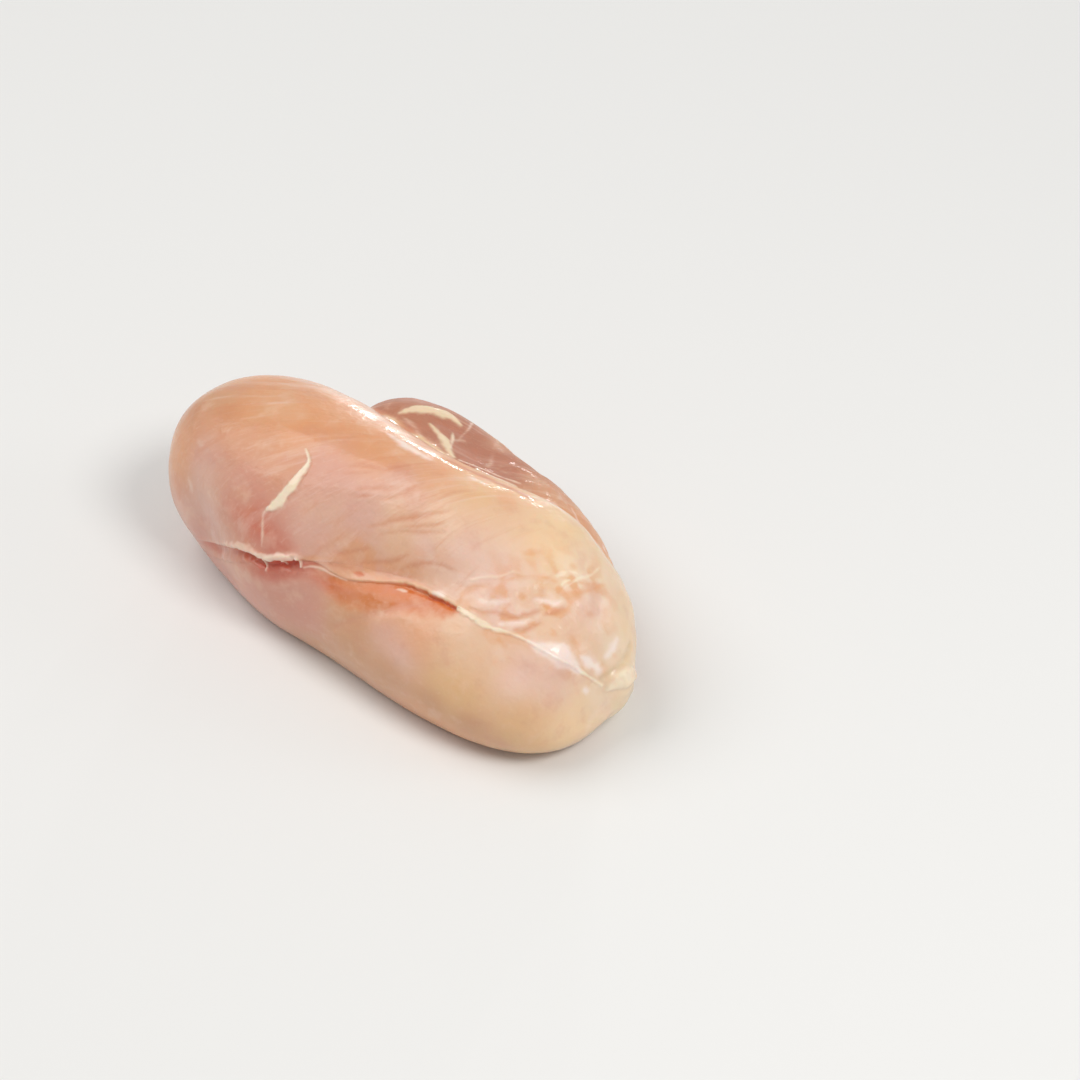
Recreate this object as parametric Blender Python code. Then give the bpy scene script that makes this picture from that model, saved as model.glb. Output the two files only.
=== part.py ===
"""Raw chicken breast: a whole boneless, skinless breast whose lobes are folded together, lying flat."""

import bmesh
import bpy
import numpy as np

# Driving dimensions, in metres. +X runs from the thick end to the tip, and -Y is the side with the cleft.
LENGTH = 0.172
WIDTH = 0.094
HEIGHT = 0.062

# Rounding of the creases where two muscles meet, and of the edge of the flat underside.
CREASE = 0.003
BASE_ROUNDING = 0.003

# Mesh density.
STATIONS = 76
POINTS_ROUND = 60
RAY_STEPS = 120
HALVINGS = 30
RAY_LENGTH = 0.52 * LENGTH

# Raw flesh.
FLESH_COLOUR = (0.78, 0.47, 0.34, 1.0)
FLESH_ROUGHNESS = 0.35

# Each muscle is a blunt ellipsoid whose section changes along it. Its reach is in half lengths of the breast.
# A station is (place along, centre across, centre height, half width, half height), as shares of
# the half length, the half width, the height, the half width and the height.
MAIN_LOBE = {
    "reach": (-1.00, 0.90),
    "bluntness": 4.1,
    "stations": (
        (-1.08, -0.25, 0.45, 0.75, 0.54),
        (-0.66, -0.27, 0.45, 0.77, 0.55),
        (-0.29, -0.25, 0.45, 0.70, 0.55),
        (0.09, -0.15, 0.45, 0.57, 0.55),
        (0.30, -0.06, 0.43, 0.57, 0.54),
        (0.51, -0.01, 0.40, 0.60, 0.50),
        (0.75, 0.04, 0.36, 0.59, 0.46),
        (1.02, 0.04, 0.30, 0.55, 0.38),
    ),
}
FRONT_LOBE = {
    "reach": (-0.82, 1.00),
    "bluntness": 4.0,
    "stations": (
        (-0.82, -0.65, 0.27, 0.27, 0.35),
        (-0.47, -0.64, 0.31, 0.36, 0.38),
        (-0.03, -0.57, 0.28, 0.39, 0.37),
        (0.34, -0.52, 0.28, 0.46, 0.37),
        (0.70, -0.44, 0.26, 0.51, 0.34),
        (1.02, -0.33, 0.20, 0.53, 0.28),
    ),
}
BACK_LOBE = {
    "reach": (-0.60, 0.79),
    "bluntness": 4.4,
    "stations": (
        (-0.60, 0.50, 0.36, 0.47, 0.42),
        (-0.24, 0.49, 0.34, 0.51, 0.42),
        (0.18, 0.46, 0.31, 0.50, 0.39),
        (0.49, 0.38, 0.27, 0.46, 0.35),
        (0.81, 0.18, 0.22, 0.39, 0.29),
    ),
}
# The lump of fat between the two muscles at the tip.
TIP_FAT = {
    "reach": (0.62, 0.98),
    "bluntness": 2.4,
    "stations": (
        (0.62, 0.02, 0.24, 0.18, 0.20),
        (0.81, -0.01, 0.22, 0.25, 0.20),
        (1.02, -0.01, 0.20, 0.25, 0.17),
    ),
}
MUSCLES = (MAIN_LOBE, FRONT_LOBE, BACK_LOBE, TIP_FAT)

# The line inside the breast that the surface is found from.
SPINE_REACH = 0.75
SPINE_HEIGHT = 0.40
SPINE_DROP = 0.04
SPINE_BOW = 0.06
END_FANNING = 3


def between(stations, x):
    """The section's four sizes at each x, on smooth curves through the stations."""
    table = np.array(stations)
    places = table[:, 0] * LENGTH / 2
    sizes = table[:, 1:] * np.array([WIDTH / 2, HEIGHT, WIDTH / 2, HEIGHT])
    slopes = np.gradient(sizes, places, axis=0)
    x = np.clip(x, places[0], places[-1])
    index = np.clip(np.searchsorted(places, x) - 1, 0, len(places) - 2)
    step = places[index + 1] - places[index]
    t = ((x - places[index]) / step)[..., None]
    step = step[..., None]
    return (
        (1 + 2 * t) * (1 - t) ** 2 * sizes[index]
        + t * (1 - t) ** 2 * step * slopes[index]
        + t**2 * (3 - 2 * t) * sizes[index + 1]
        + t**2 * (t - 1) * step * slopes[index + 1]
    )


def muscle(lobe, points):
    """About how far each point is outside one muscle; negative inside."""
    x, y, z = points[..., 0], points[..., 1], points[..., 2]
    low, high = (share * LENGTH / 2 for share in lobe["reach"])
    section = between(lobe["stations"], x)
    centre_y, centre_z, half_width, half_height = np.moveaxis(section, -1, 0)
    along = np.abs((x - (low + high) / 2) / ((high - low) / 2)) ** lobe["bluntness"]
    across = ((y - centre_y) / half_width) ** 2 + ((z - centre_z) / half_height) ** 2
    return (np.sqrt(along + across) - 1) * np.minimum(half_width, half_height)


def blend(a, b, radius):
    """The smaller of two distances, with the valley between the two shapes rounded."""
    overlap = np.maximum(radius - np.abs(a - b), 0) / radius
    return np.minimum(a, b) - overlap**2 * radius / 4


def field(points):
    """About how far each point is outside the breast; negative inside."""
    distance = muscle(MUSCLES[0], points)
    for lobe in MUSCLES[1:]:
        distance = blend(distance, muscle(lobe, points), CREASE)
    return -blend(-distance, points[..., 2], BASE_ROUNDING)


def spine(share):
    """The point inside the breast that the rays of one station start from."""
    x = share * SPINE_REACH * LENGTH / 2
    y = -SPINE_BOW * share**2 * WIDTH
    z = (SPINE_HEIGHT - SPINE_DROP * share) * HEIGHT
    return np.stack([x, y, z], -1)


def to_surface(directions):
    """Each direction's point on the surface: the outermost one on a ray from the spine."""
    share = directions[:, 0]
    start = spine(share)
    heading = directions.copy()
    heading[:, 0] = share**END_FANNING
    heading /= np.linalg.norm(heading, axis=1)[:, None]
    far = np.full(len(start), RAY_LENGTH)
    near = np.zeros(len(start))
    for reach in np.linspace(RAY_LENGTH, 0, RAY_STEPS):
        inside = field(start + heading * reach) < 0
        searching = near == 0
        near[inside & searching] = reach
        far[~inside & searching] = reach
    for _ in range(HALVINGS):
        middle = (near + far) / 2
        inside = field(start + heading * middle[:, None]) < 0
        near = np.where(inside, middle, near)
        far = np.where(inside, far, middle)
    return start + heading * near[:, None]


def centred(points):
    """The points moved so that the underside's middle is the origin."""
    low = points.min(axis=0)
    high = points.max(axis=0)
    middle = (low + high) / 2
    return points - [middle[0], middle[1], low[2]]


def clear_scene():
    for thing in list(bpy.data.objects):
        bpy.data.objects.remove(thing, do_unlink=True)


def flesh():
    material = bpy.data.materials.new("flesh")
    material.use_nodes = True
    shader = material.node_tree.nodes["Principled BSDF"]
    shader.inputs["Base Color"].default_value = FLESH_COLOUR
    shader.inputs["Roughness"].default_value = FLESH_ROUGHNESS
    shader.inputs["Metallic"].default_value = 0.0
    return material


def make_breast(collection):
    mesh = bpy.data.meshes.new("breast")
    builder = bmesh.new()
    bmesh.ops.create_uvsphere(
        builder, u_segments=POINTS_ROUND, v_segments=STATIONS, radius=1.0
    )
    builder.to_mesh(mesh)
    builder.free()
    directions = np.empty(len(mesh.vertices) * 3)
    mesh.vertices.foreach_get("co", directions)
    # The sphere's poles turn to the two ends of the breast.
    directions = directions.reshape(-1, 3)[:, [2, 0, 1]]
    points = centred(to_surface(directions))
    mesh.vertices.foreach_set("co", points.ravel())
    mesh.materials.append(flesh())
    mesh.shade_smooth()
    breast = bpy.data.objects.new("breast", mesh)
    collection.objects.link(breast)


def main():
    clear_scene()
    collection = bpy.data.collections.new("raw chicken breast")
    bpy.context.scene.collection.children.link(collection)
    make_breast(collection)


main()
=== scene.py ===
"""Raw chicken breast: moist flesh, torn membrane and fat, on a plain pale floor."""

import math

import bmesh
import bpy
import numpy as np
from mathutils import Matrix, Vector, noise
from mathutils.bvhtree import BVHTree


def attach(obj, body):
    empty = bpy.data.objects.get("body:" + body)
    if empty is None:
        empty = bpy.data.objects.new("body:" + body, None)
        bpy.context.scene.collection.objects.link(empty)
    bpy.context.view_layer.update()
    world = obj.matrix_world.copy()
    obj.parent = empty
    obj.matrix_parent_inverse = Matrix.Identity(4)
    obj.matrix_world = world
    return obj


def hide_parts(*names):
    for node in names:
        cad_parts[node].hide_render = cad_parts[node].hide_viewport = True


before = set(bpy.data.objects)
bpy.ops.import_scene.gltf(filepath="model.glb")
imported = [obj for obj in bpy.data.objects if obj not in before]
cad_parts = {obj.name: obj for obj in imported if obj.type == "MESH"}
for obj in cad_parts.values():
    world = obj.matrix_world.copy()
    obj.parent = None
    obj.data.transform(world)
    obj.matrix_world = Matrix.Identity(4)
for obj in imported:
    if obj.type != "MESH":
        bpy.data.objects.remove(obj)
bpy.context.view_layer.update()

MM = 0.001

# Camera, from the photograph's 1080 by 1080 frame.
PHOTO_SIZE = 1080
SENSOR_WIDTH = 36.0
AZIMUTH = math.radians(44.0)
ELEVATION = math.radians(42.0)
DISTANCE = 1.2
PIXELS_PER_MM = 3.21
ORIGIN_PIXEL = (423.9, 600.9)
FOCAL_PIXELS = PIXELS_PER_MM / MM * DISTANCE

# Overall sizes. +X runs from the thick end to the tip, and -Y is the side with the cleft.
LENGTH = 0.172
WIDTH = 0.094
HEIGHT = 0.062

# Rounding of the creases. The one between the front and main lobes is softer in the middle and fades
# towards the tip.
CREASE = 1.2 * MM
MIDDLE_CREASE = 9 * MM
MIDDLE_CREASE_PLACE = -0.22
MIDDLE_CREASE_REACH = 0.24
TIP_CREASE = 17 * MM
TIP_CREASE_REACH = (0.20, 0.62)
BASE_ROUNDING = 3 * MM

# Mesh density.
STATIONS = 210
POINTS_ROUND = 210
RAY_STEPS = 120
HALVINGS = 16
RAY_LENGTH = 0.52 * LENGTH
VOXEL = 0.92 * MM
FINE_REACH = 5 * MM
FINEST_REACH = 2.6 * MM

# Steps between two places of a stroke, on the seen side and out of sight.
TRACE_STEPS = 4
ROUND_STEPS = 6

# How far the cleft's shaping reaches, and how far off the back lobe its own strokes may lie.
CLEFT_REACH = 14 * MM
LOBE_MARGIN = 2 * MM

# Each muscle is a blunt ellipsoid whose section changes along it. Its reach is in half lengths of the
# breast. A station is (place along, centre across, centre height, half width, half height), as shares of
# the half length, the half width, the height, the half width and the height.
MAIN_LOBE = {
    "reach": (-1.00, 0.90),
    "bluntness": 4.1,
    "stations": (
        (-1.08, -0.25, 0.45, 0.75, 0.54),
        (-0.66, -0.27, 0.45, 0.77, 0.55),
        (-0.29, -0.25, 0.45, 0.70, 0.55),
        (0.09, -0.15, 0.45, 0.57, 0.55),
        (0.30, -0.06, 0.43, 0.57, 0.54),
        (0.51, -0.01, 0.40, 0.60, 0.50),
        (0.75, 0.04, 0.36, 0.59, 0.46),
        (1.02, 0.04, 0.30, 0.55, 0.38),
    ),
}
FRONT_LOBE = {
    "reach": (-0.82, 1.00),
    "bluntness": 4.0,
    "stations": (
        (-0.82, -0.65, 0.27, 0.27, 0.35),
        (-0.47, -0.64, 0.31, 0.36, 0.38),
        (-0.03, -0.57, 0.28, 0.39, 0.37),
        (0.34, -0.52, 0.28, 0.46, 0.37),
        (0.70, -0.44, 0.26, 0.51, 0.34),
        (1.02, -0.33, 0.20, 0.53, 0.28),
    ),
}
BACK_LOBE = {
    "reach": (-0.60, 0.79),
    "bluntness": 4.4,
    "stations": (
        (-0.60, 0.50, 0.36, 0.47, 0.42),
        (-0.24, 0.49, 0.34, 0.51, 0.42),
        (0.18, 0.46, 0.31, 0.50, 0.39),
        (0.49, 0.38, 0.27, 0.46, 0.35),
        (0.81, 0.18, 0.22, 0.39, 0.29),
    ),
}
# The lump of fat between the two muscles at the tip.
TIP_FAT = {
    "reach": (0.62, 0.98),
    "bluntness": 2.4,
    "stations": (
        (0.62, 0.02, 0.24, 0.18, 0.20),
        (0.81, -0.01, 0.22, 0.25, 0.20),
        (1.02, -0.01, 0.20, 0.25, 0.17),
    ),
}

# The line inside the breast that the surface is found from.
SPINE_REACH = 0.75
SPINE_HEIGHT = 0.40
SPINE_DROP = 0.04
SPINE_BOW = 0.06
END_FANNING = 3

# The muscle fibres of the main and back lobes fan out from a point beside the tip.
FAN_CENTRE = (75 * MM, 85 * MM)
FAN_RADIUS = 115 * MM
FRONT_FIBRES = (0.66, 0.52, 0.28)


def srgb(red, green, blue):
    """Linear colour from a 0 to 255 display colour."""
    share = np.array([red, green, blue]) / 255.0
    return np.where(share > 0.04045, ((share + 0.055) / 1.055) ** 2.4, share / 12.92)


# Flesh and fat colours.
PEACH = srgb(222, 158, 112)
DEEP_PEACH = srgb(204, 138, 94)
APRICOT = srgb(224, 166, 126)
PINK = srgb(212, 153, 134)
ROSE = srgb(205, 134, 115)
DEEP_ROSE = srgb(204, 102, 80)
RED_FLESH = srgb(196, 112, 92)
BLUSH = srgb(220, 174, 157)
PALE = srgb(230, 192, 160)
CREAM = srgb(238, 206, 164)
PALE_CREAM = srgb(238, 216, 190)
PALE_PINK = srgb(234, 198, 184)
STRAW = srgb(226, 182, 132)
# Tan is also painted as shade along the front lobe's lower edge.
TAN = srgb(210, 158, 120)
BACK_FLESH = srgb(174, 114, 90)
FAT = srgb(243, 226, 200)
YELLOW_FAT = srgb(232, 208, 165)
FILM = srgb(242, 216, 196)
# White painted where light reflects off the wet film: a painted highlight.
PAINTED_HIGHLIGHT_WHITE = srgb(248, 230, 220)
AMBER = srgb(224, 154, 94)
RAW_ORANGE_AND_SHADE = srgb(206, 118, 56)
# Raw orange of the strip under the cleft, darkened to paint the shade of its hollow.
ORANGE = srgb(214, 116, 44)
STREAK = srgb(208, 136, 98)
BLOOD = srgb(212, 84, 58)
OLIVE = srgb(190, 160, 118)

# Tints that the flesh material adds.
WARM_FIBRE = srgb(210, 136, 98)
SINEW = srgb(238, 212, 196)
PALE_FIBRE = srgb(236, 204, 186)
PALE_MOTTLE = srgb(238, 206, 182)
DARK_MOTTLE = srgb(206, 138, 116)
PALE_SPECK = srgb(244, 222, 200)

# The material's noise: cycles a metre, and cycles a millimetre along, across and through the fibres.
ZONES = 38.0
MOTTLING = 110.0
PITS = 330.0
SPECKS = 900.0
BROAD_FIBRES = (0.035, 0.42, 0.20)
FINE_FIBRES = (0.06, 1.5, 0.6)
SINEWS = (0.018, 0.26, 0.12)
BUMP_DEPTH = 1.0 * MM

# The wet film: its weight, what it loses on the back lobe, and the share it loses in the dull places.
WETNESS = 0.55
BACK_DRYNESS = 0.32
DULLING = 0.85

# Soft lights: (name, degrees round from +X, degrees up, distance, size, power in watts, colour).
WHITE = (1.0, 1.0, 1.0)
WARM_WHITE = (1.0, 0.985, 0.96)
LIGHTS = (
    ("back_strip", 122, 2, 1.2, (0.08, 0.05), 2.2, WHITE),
    ("back_spot", 112, 14, 1.2, (0.06, 0.06), 0.45, WHITE),
    ("key", -2, 53, 1.3, (0.55, 0.45), 6.6, WARM_WHITE),
    ("side_fill", 40, 20, 1.4, (0.6, 0.4), 1.6, WHITE),
    ("left_fill", -150, 56, 1.5, (1.4, 1.2), 10.3, WARM_WHITE),
)
WORLD_STRENGTH = 0.40
FLOOR_SIZE = 3.0
FLOOR_COLOUR = (0.82, 0.82, 0.81, 1)
FLOOR_ROUGHNESS = 0.8

# Soft patches of flesh: (pixel across, pixel down, radius in mm, colour).
FLESH_PATCHES = (
    (310, 412, 17, PEACH),
    (262, 410, 14, PEACH),
    (212, 402, 11, TAN),
    (198, 408, 6, DEEP_PEACH),
    (314, 458, 6, PINK),
    (244, 434, 9, DEEP_PEACH),
    (224, 414, 6, DEEP_PEACH),
    (296, 460, 7, DEEP_PEACH),
    (180, 450, 10, PEACH),
    (205, 465, 12, BLUSH),
    (240, 490, 11, PINK),
    (195, 525, 9, BLUSH),
    (232, 506, 7, ROSE),
    (250, 521, 6, DEEP_ROSE),
    (268, 540, 8, ROSE),
    (300, 440, 12, PEACH),
    (270, 442, 7, DEEP_PEACH),
    (505, 500, 5, PEACH),
    (330, 520, 16, BLUSH),
    (325, 480, 12, PINK),
    (350, 556, 8, APRICOT),
    (380, 450, 13, PEACH),
    (365, 512, 10, BLUSH),
    (400, 510, 9, PALE),
    (400, 480, 7, PINK),
    (414, 502, 6, PINK),
    (436, 476, 10, APRICOT),
    (400, 546, 6, PALE),
    (582, 560, 8, PALE_CREAM),
    (480, 496, 8, STRAW),
    (345, 550, 6, PEACH),
    (405, 560, 8, APRICOT),
    (450, 525, 14, PALE),
    (505, 515, 14, PALE),
    (560, 535, 16, CREAM),
    (605, 600, 14, PALE_CREAM),
    (612, 640, 8, PALE_CREAM),
    (540, 600, 9, PALE),
    (500, 572, 9, PALE_PINK),
    (462, 548, 10, PALE_PINK),
    (424, 545, 6, PALE_PINK),
    (500, 612, 6, PALE_PINK),
    (590, 605, 7, PALE_PINK),
    (585, 640, 10, PALE),
    (255, 590, 10, PINK),
    (300, 610, 10, PINK),
    (390, 608, 7, APRICOT),
    (350, 625, 10, TAN),
    (410, 635, 10, APRICOT),
    (475, 655, 13, PALE),
    (398, 650, 7, PALE_PINK),
    (386, 634, 7, BLUSH),
    (520, 680, 8, PALE_PINK),
    (548, 694, 10, PALE_PINK),
    (600, 700, 7, PALE_CREAM),
    (556, 726, 7, CREAM),
    # Tan patches along the front lobe's lower edge: painted shade where it meets the floor.
    (432, 703, 6, TAN),
    (466, 725, 6, TAN),
    (352, 656, 5, TAN),
    (500, 744, 6, TAN),
    (455, 690, 10, STRAW),
    # Tan low on the front lobe: painted shade.
    (385, 668, 9, TAN),
    (535, 715, 12, STRAW),
    (575, 715, 9, CREAM),
    (520, 742, 9, STRAW),
)

# Flesh out of the photograph's sight: (place along, angle up from +Y, radius in mm, colour).
HIDDEN_PATCHES = (
    (-0.85, 60, 16, PEACH),
    (-0.80, 10, 16, APRICOT),
    (-0.75, -20, 16, PINK),
    (-0.55, 20, 12, BLUSH),
    (-0.45, 45, 14, APRICOT),
    (-0.30, 10, 12, BACK_FLESH),
    (-0.10, 25, 10, BLUSH),
    (0.05, -5, 14, PINK),
    (0.05, 40, 10, BACK_FLESH),
    (0.20, 15, 10, APRICOT),
    (0.35, -5, 14, PALE),
    (0.50, 25, 12, PEACH),
    (0.65, 10, 14, APRICOT),
    (0.90, 30, 12, CREAM),
    (-0.60, -90, 22, PINK),
    (-0.10, -90, 22, BLUSH),
    (0.40, -90, 22, TAN),
    (0.80, -80, 20, PALE),
    (-0.60, -150, 14, PINK),
    (0.00, -150, 14, TAN),
    (0.55, -145, 14, PEACH),
)

# The cleft from the thick end to the notch: (pixel across, pixel down, depth of the gap, size of the torn
# lip, width of the raw strip below it).
CLEFT = (
    (196, 540, 0.00, 0.0, 0.0),
    (208, 542, 0.20, 0.1, 0.3),
    (220, 545, 0.50, 0.3, 0.6),
    (231, 547, 0.90, 0.8, 0.7),
    (243, 549, 1.00, 0.9, 0.7),
    (253, 553, 1.00, 0.9, 0.8),
    (262, 558, 1.00, 0.8, 0.9),
    (270, 560, 0.90, 1.0, 0.9),
    (277, 559, 0.95, 0.9, 0.9),
    (286, 560, 1.00, 1.0, 0.8),
    (295, 558, 0.95, 0.8, 0.7),
    (305, 560, 0.55, 0.0, 0.5),
    (318, 563, 0.20, 0.0, 0.35),
    (330, 571, 0.10, 0.1, 0.25),
    (342, 577, 0.10, 0.15, 0.7),
    (353, 580, 0.15, 0.15, 0.9),
    (368, 581, 0.20, 0.15, 1.0),
    (384, 582, 0.35, 0.15, 1.0),
    (398, 582, 0.65, 0.2, 1.0),
    (410, 584, 0.85, 0.25, 1.0),
    (424, 590, 1.00, 0.3, 1.0),
    (440, 597, 1.00, 0.3, 0.9),
    (452, 604, 0.95, 0.2, 0.5),
    (459, 608, 0.60, 0.1, 0.2),
    (464, 612, 0.00, 0.0, 0.0),
)

# Where the visible shape swells or sinks: (pixel across, pixel down, radius in mm, rise in mm).
SHAPE_LUMPS = (
    (198, 414, 17, 2.5),
    (262, 384, 15, -1.8),
    (178, 455, 12, -0.5),
    (184, 505, 13, -1.6),
    (192, 520, 12, -2.3),
    (207, 552, 12, -2.4),
    (228, 585, 12, -0.8),
    (612, 708, 14, -5.2),
    (588, 730, 12, -2.6),
    (629, 680, 6, 2.6),
    (545, 517, 14, 1.6),
    (572, 537, 12, 1.4),
    (600, 575, 18, 1.6),
    (618, 600, 12, 0.8),
    (500, 487, 10, -1.0),
    (440, 424, 13, -1.4),
    (480, 444, 13, -3.0),
    (462, 426, 9, -1.0),
    (488, 437, 10, -1.8),
    (500, 452, 11, -1.6),
    (520, 464, 9, -0.8),
    (403, 441, 4, 0.5),
    (417, 449, 4, 0.4),
    (330, 500, 26, -0.8),
    (420, 530, 22, 0.5),
    (545, 652, 7, 0.9),
    (562, 660, 7, 1.0),
    (580, 668, 6, 0.6),
)

# Wrinkled wet membrane near the tip: (pixel across, pixel down, radius in mm, strength).
WRINKLED = (
    (500, 605, 12, 0.9),
    (545, 600, 13, 1.0),
    (580, 590, 11, 0.8),
    (540, 560, 9, 0.25),
    (590, 650, 10, 0.7),
    (430, 575, 8, 0.5),
    (370, 565, 8, 0.5),
)

# Where the film is thinner and the flesh rougher: (pixel across, pixel down, radius in mm).
DULL = (
    (455, 463, 7),
    (478, 474, 8),
    (500, 484, 8),
    (522, 494, 7),
    (500, 466, 11),
    (464, 456, 8),
    (526, 476, 9),
    (450, 432, 11),
    (560, 578, 9),
    (546, 556, 7),
    (566, 612, 6),
)

# What a stroke does: (rise in mm, soft edge in mm, colour, cover, how much it is fat).
STROKE_KINDS = {
    "fat": (0.45, 0.35, FAT, 0.95, 1.0),
    "yellow fat": (0.50, 0.6, YELLOW_FAT, 0.9, 1.0),
    "tag": (0.80, 0.4, FILM, 0.95, 0.8),
    "vein": (0.16, 0.45, FILM, 0.75, 0.5),
    "pale vein": (0.14, 0.45, FAT, 0.85, 0.6),
    "faint vein": (0.06, 0.7, FILM, 0.4, 0.2),
    "smear": (0.20, 1.8, YELLOW_FAT, 0.70, 0.7),
    "band": (0.25, 0.7, FAT * 0.5 + YELLOW_FAT * 0.5, 0.85, 0.8),
    # Glints are painted highlights: white laid into the colour where light glints off the wet film.
    "glint": (0.06, 1.0, PAINTED_HIGHLIGHT_WHITE, 0.95, 0.3),
    "fold": (-0.10, 1.0, AMBER, 0.48, 0.0),
    "streak": (-0.12, 0.9, STREAK, 0.62, 0.0),
    "soft fold": (-0.45, 2.2, ROSE, 0.30, 0.0),
    "spot": (-0.05, 0.5, ORANGE * 0.6 + BLOOD * 0.4, 0.85, 0.0),
    "red": (-0.15, 0.5, BLOOD, 0.6, 0.0),
    "groove": (-0.40, 1.3, OLIVE, 0.40, 0.0),
    "rosy": (0.0, 4.5, DEEP_ROSE, 0.60, 0.0),
    "gap": (-0.35, 0.5, BLOOD, 0.85, 0.0),
    "raw": (-0.20, 2.0, RED_FLESH, 0.85, 0.0),
    "raw strip": (-0.05, 1.1, ORANGE, 0.70, 0.0),
    "lump": (0.90, 0.8, FAT, 0.9, 1.0),
}

# Kinds with edges that need finer cells.
CRISP_KINDS = ("fat", "band", "lump", "tag", "vein", "pale vein", "gap")

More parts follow.
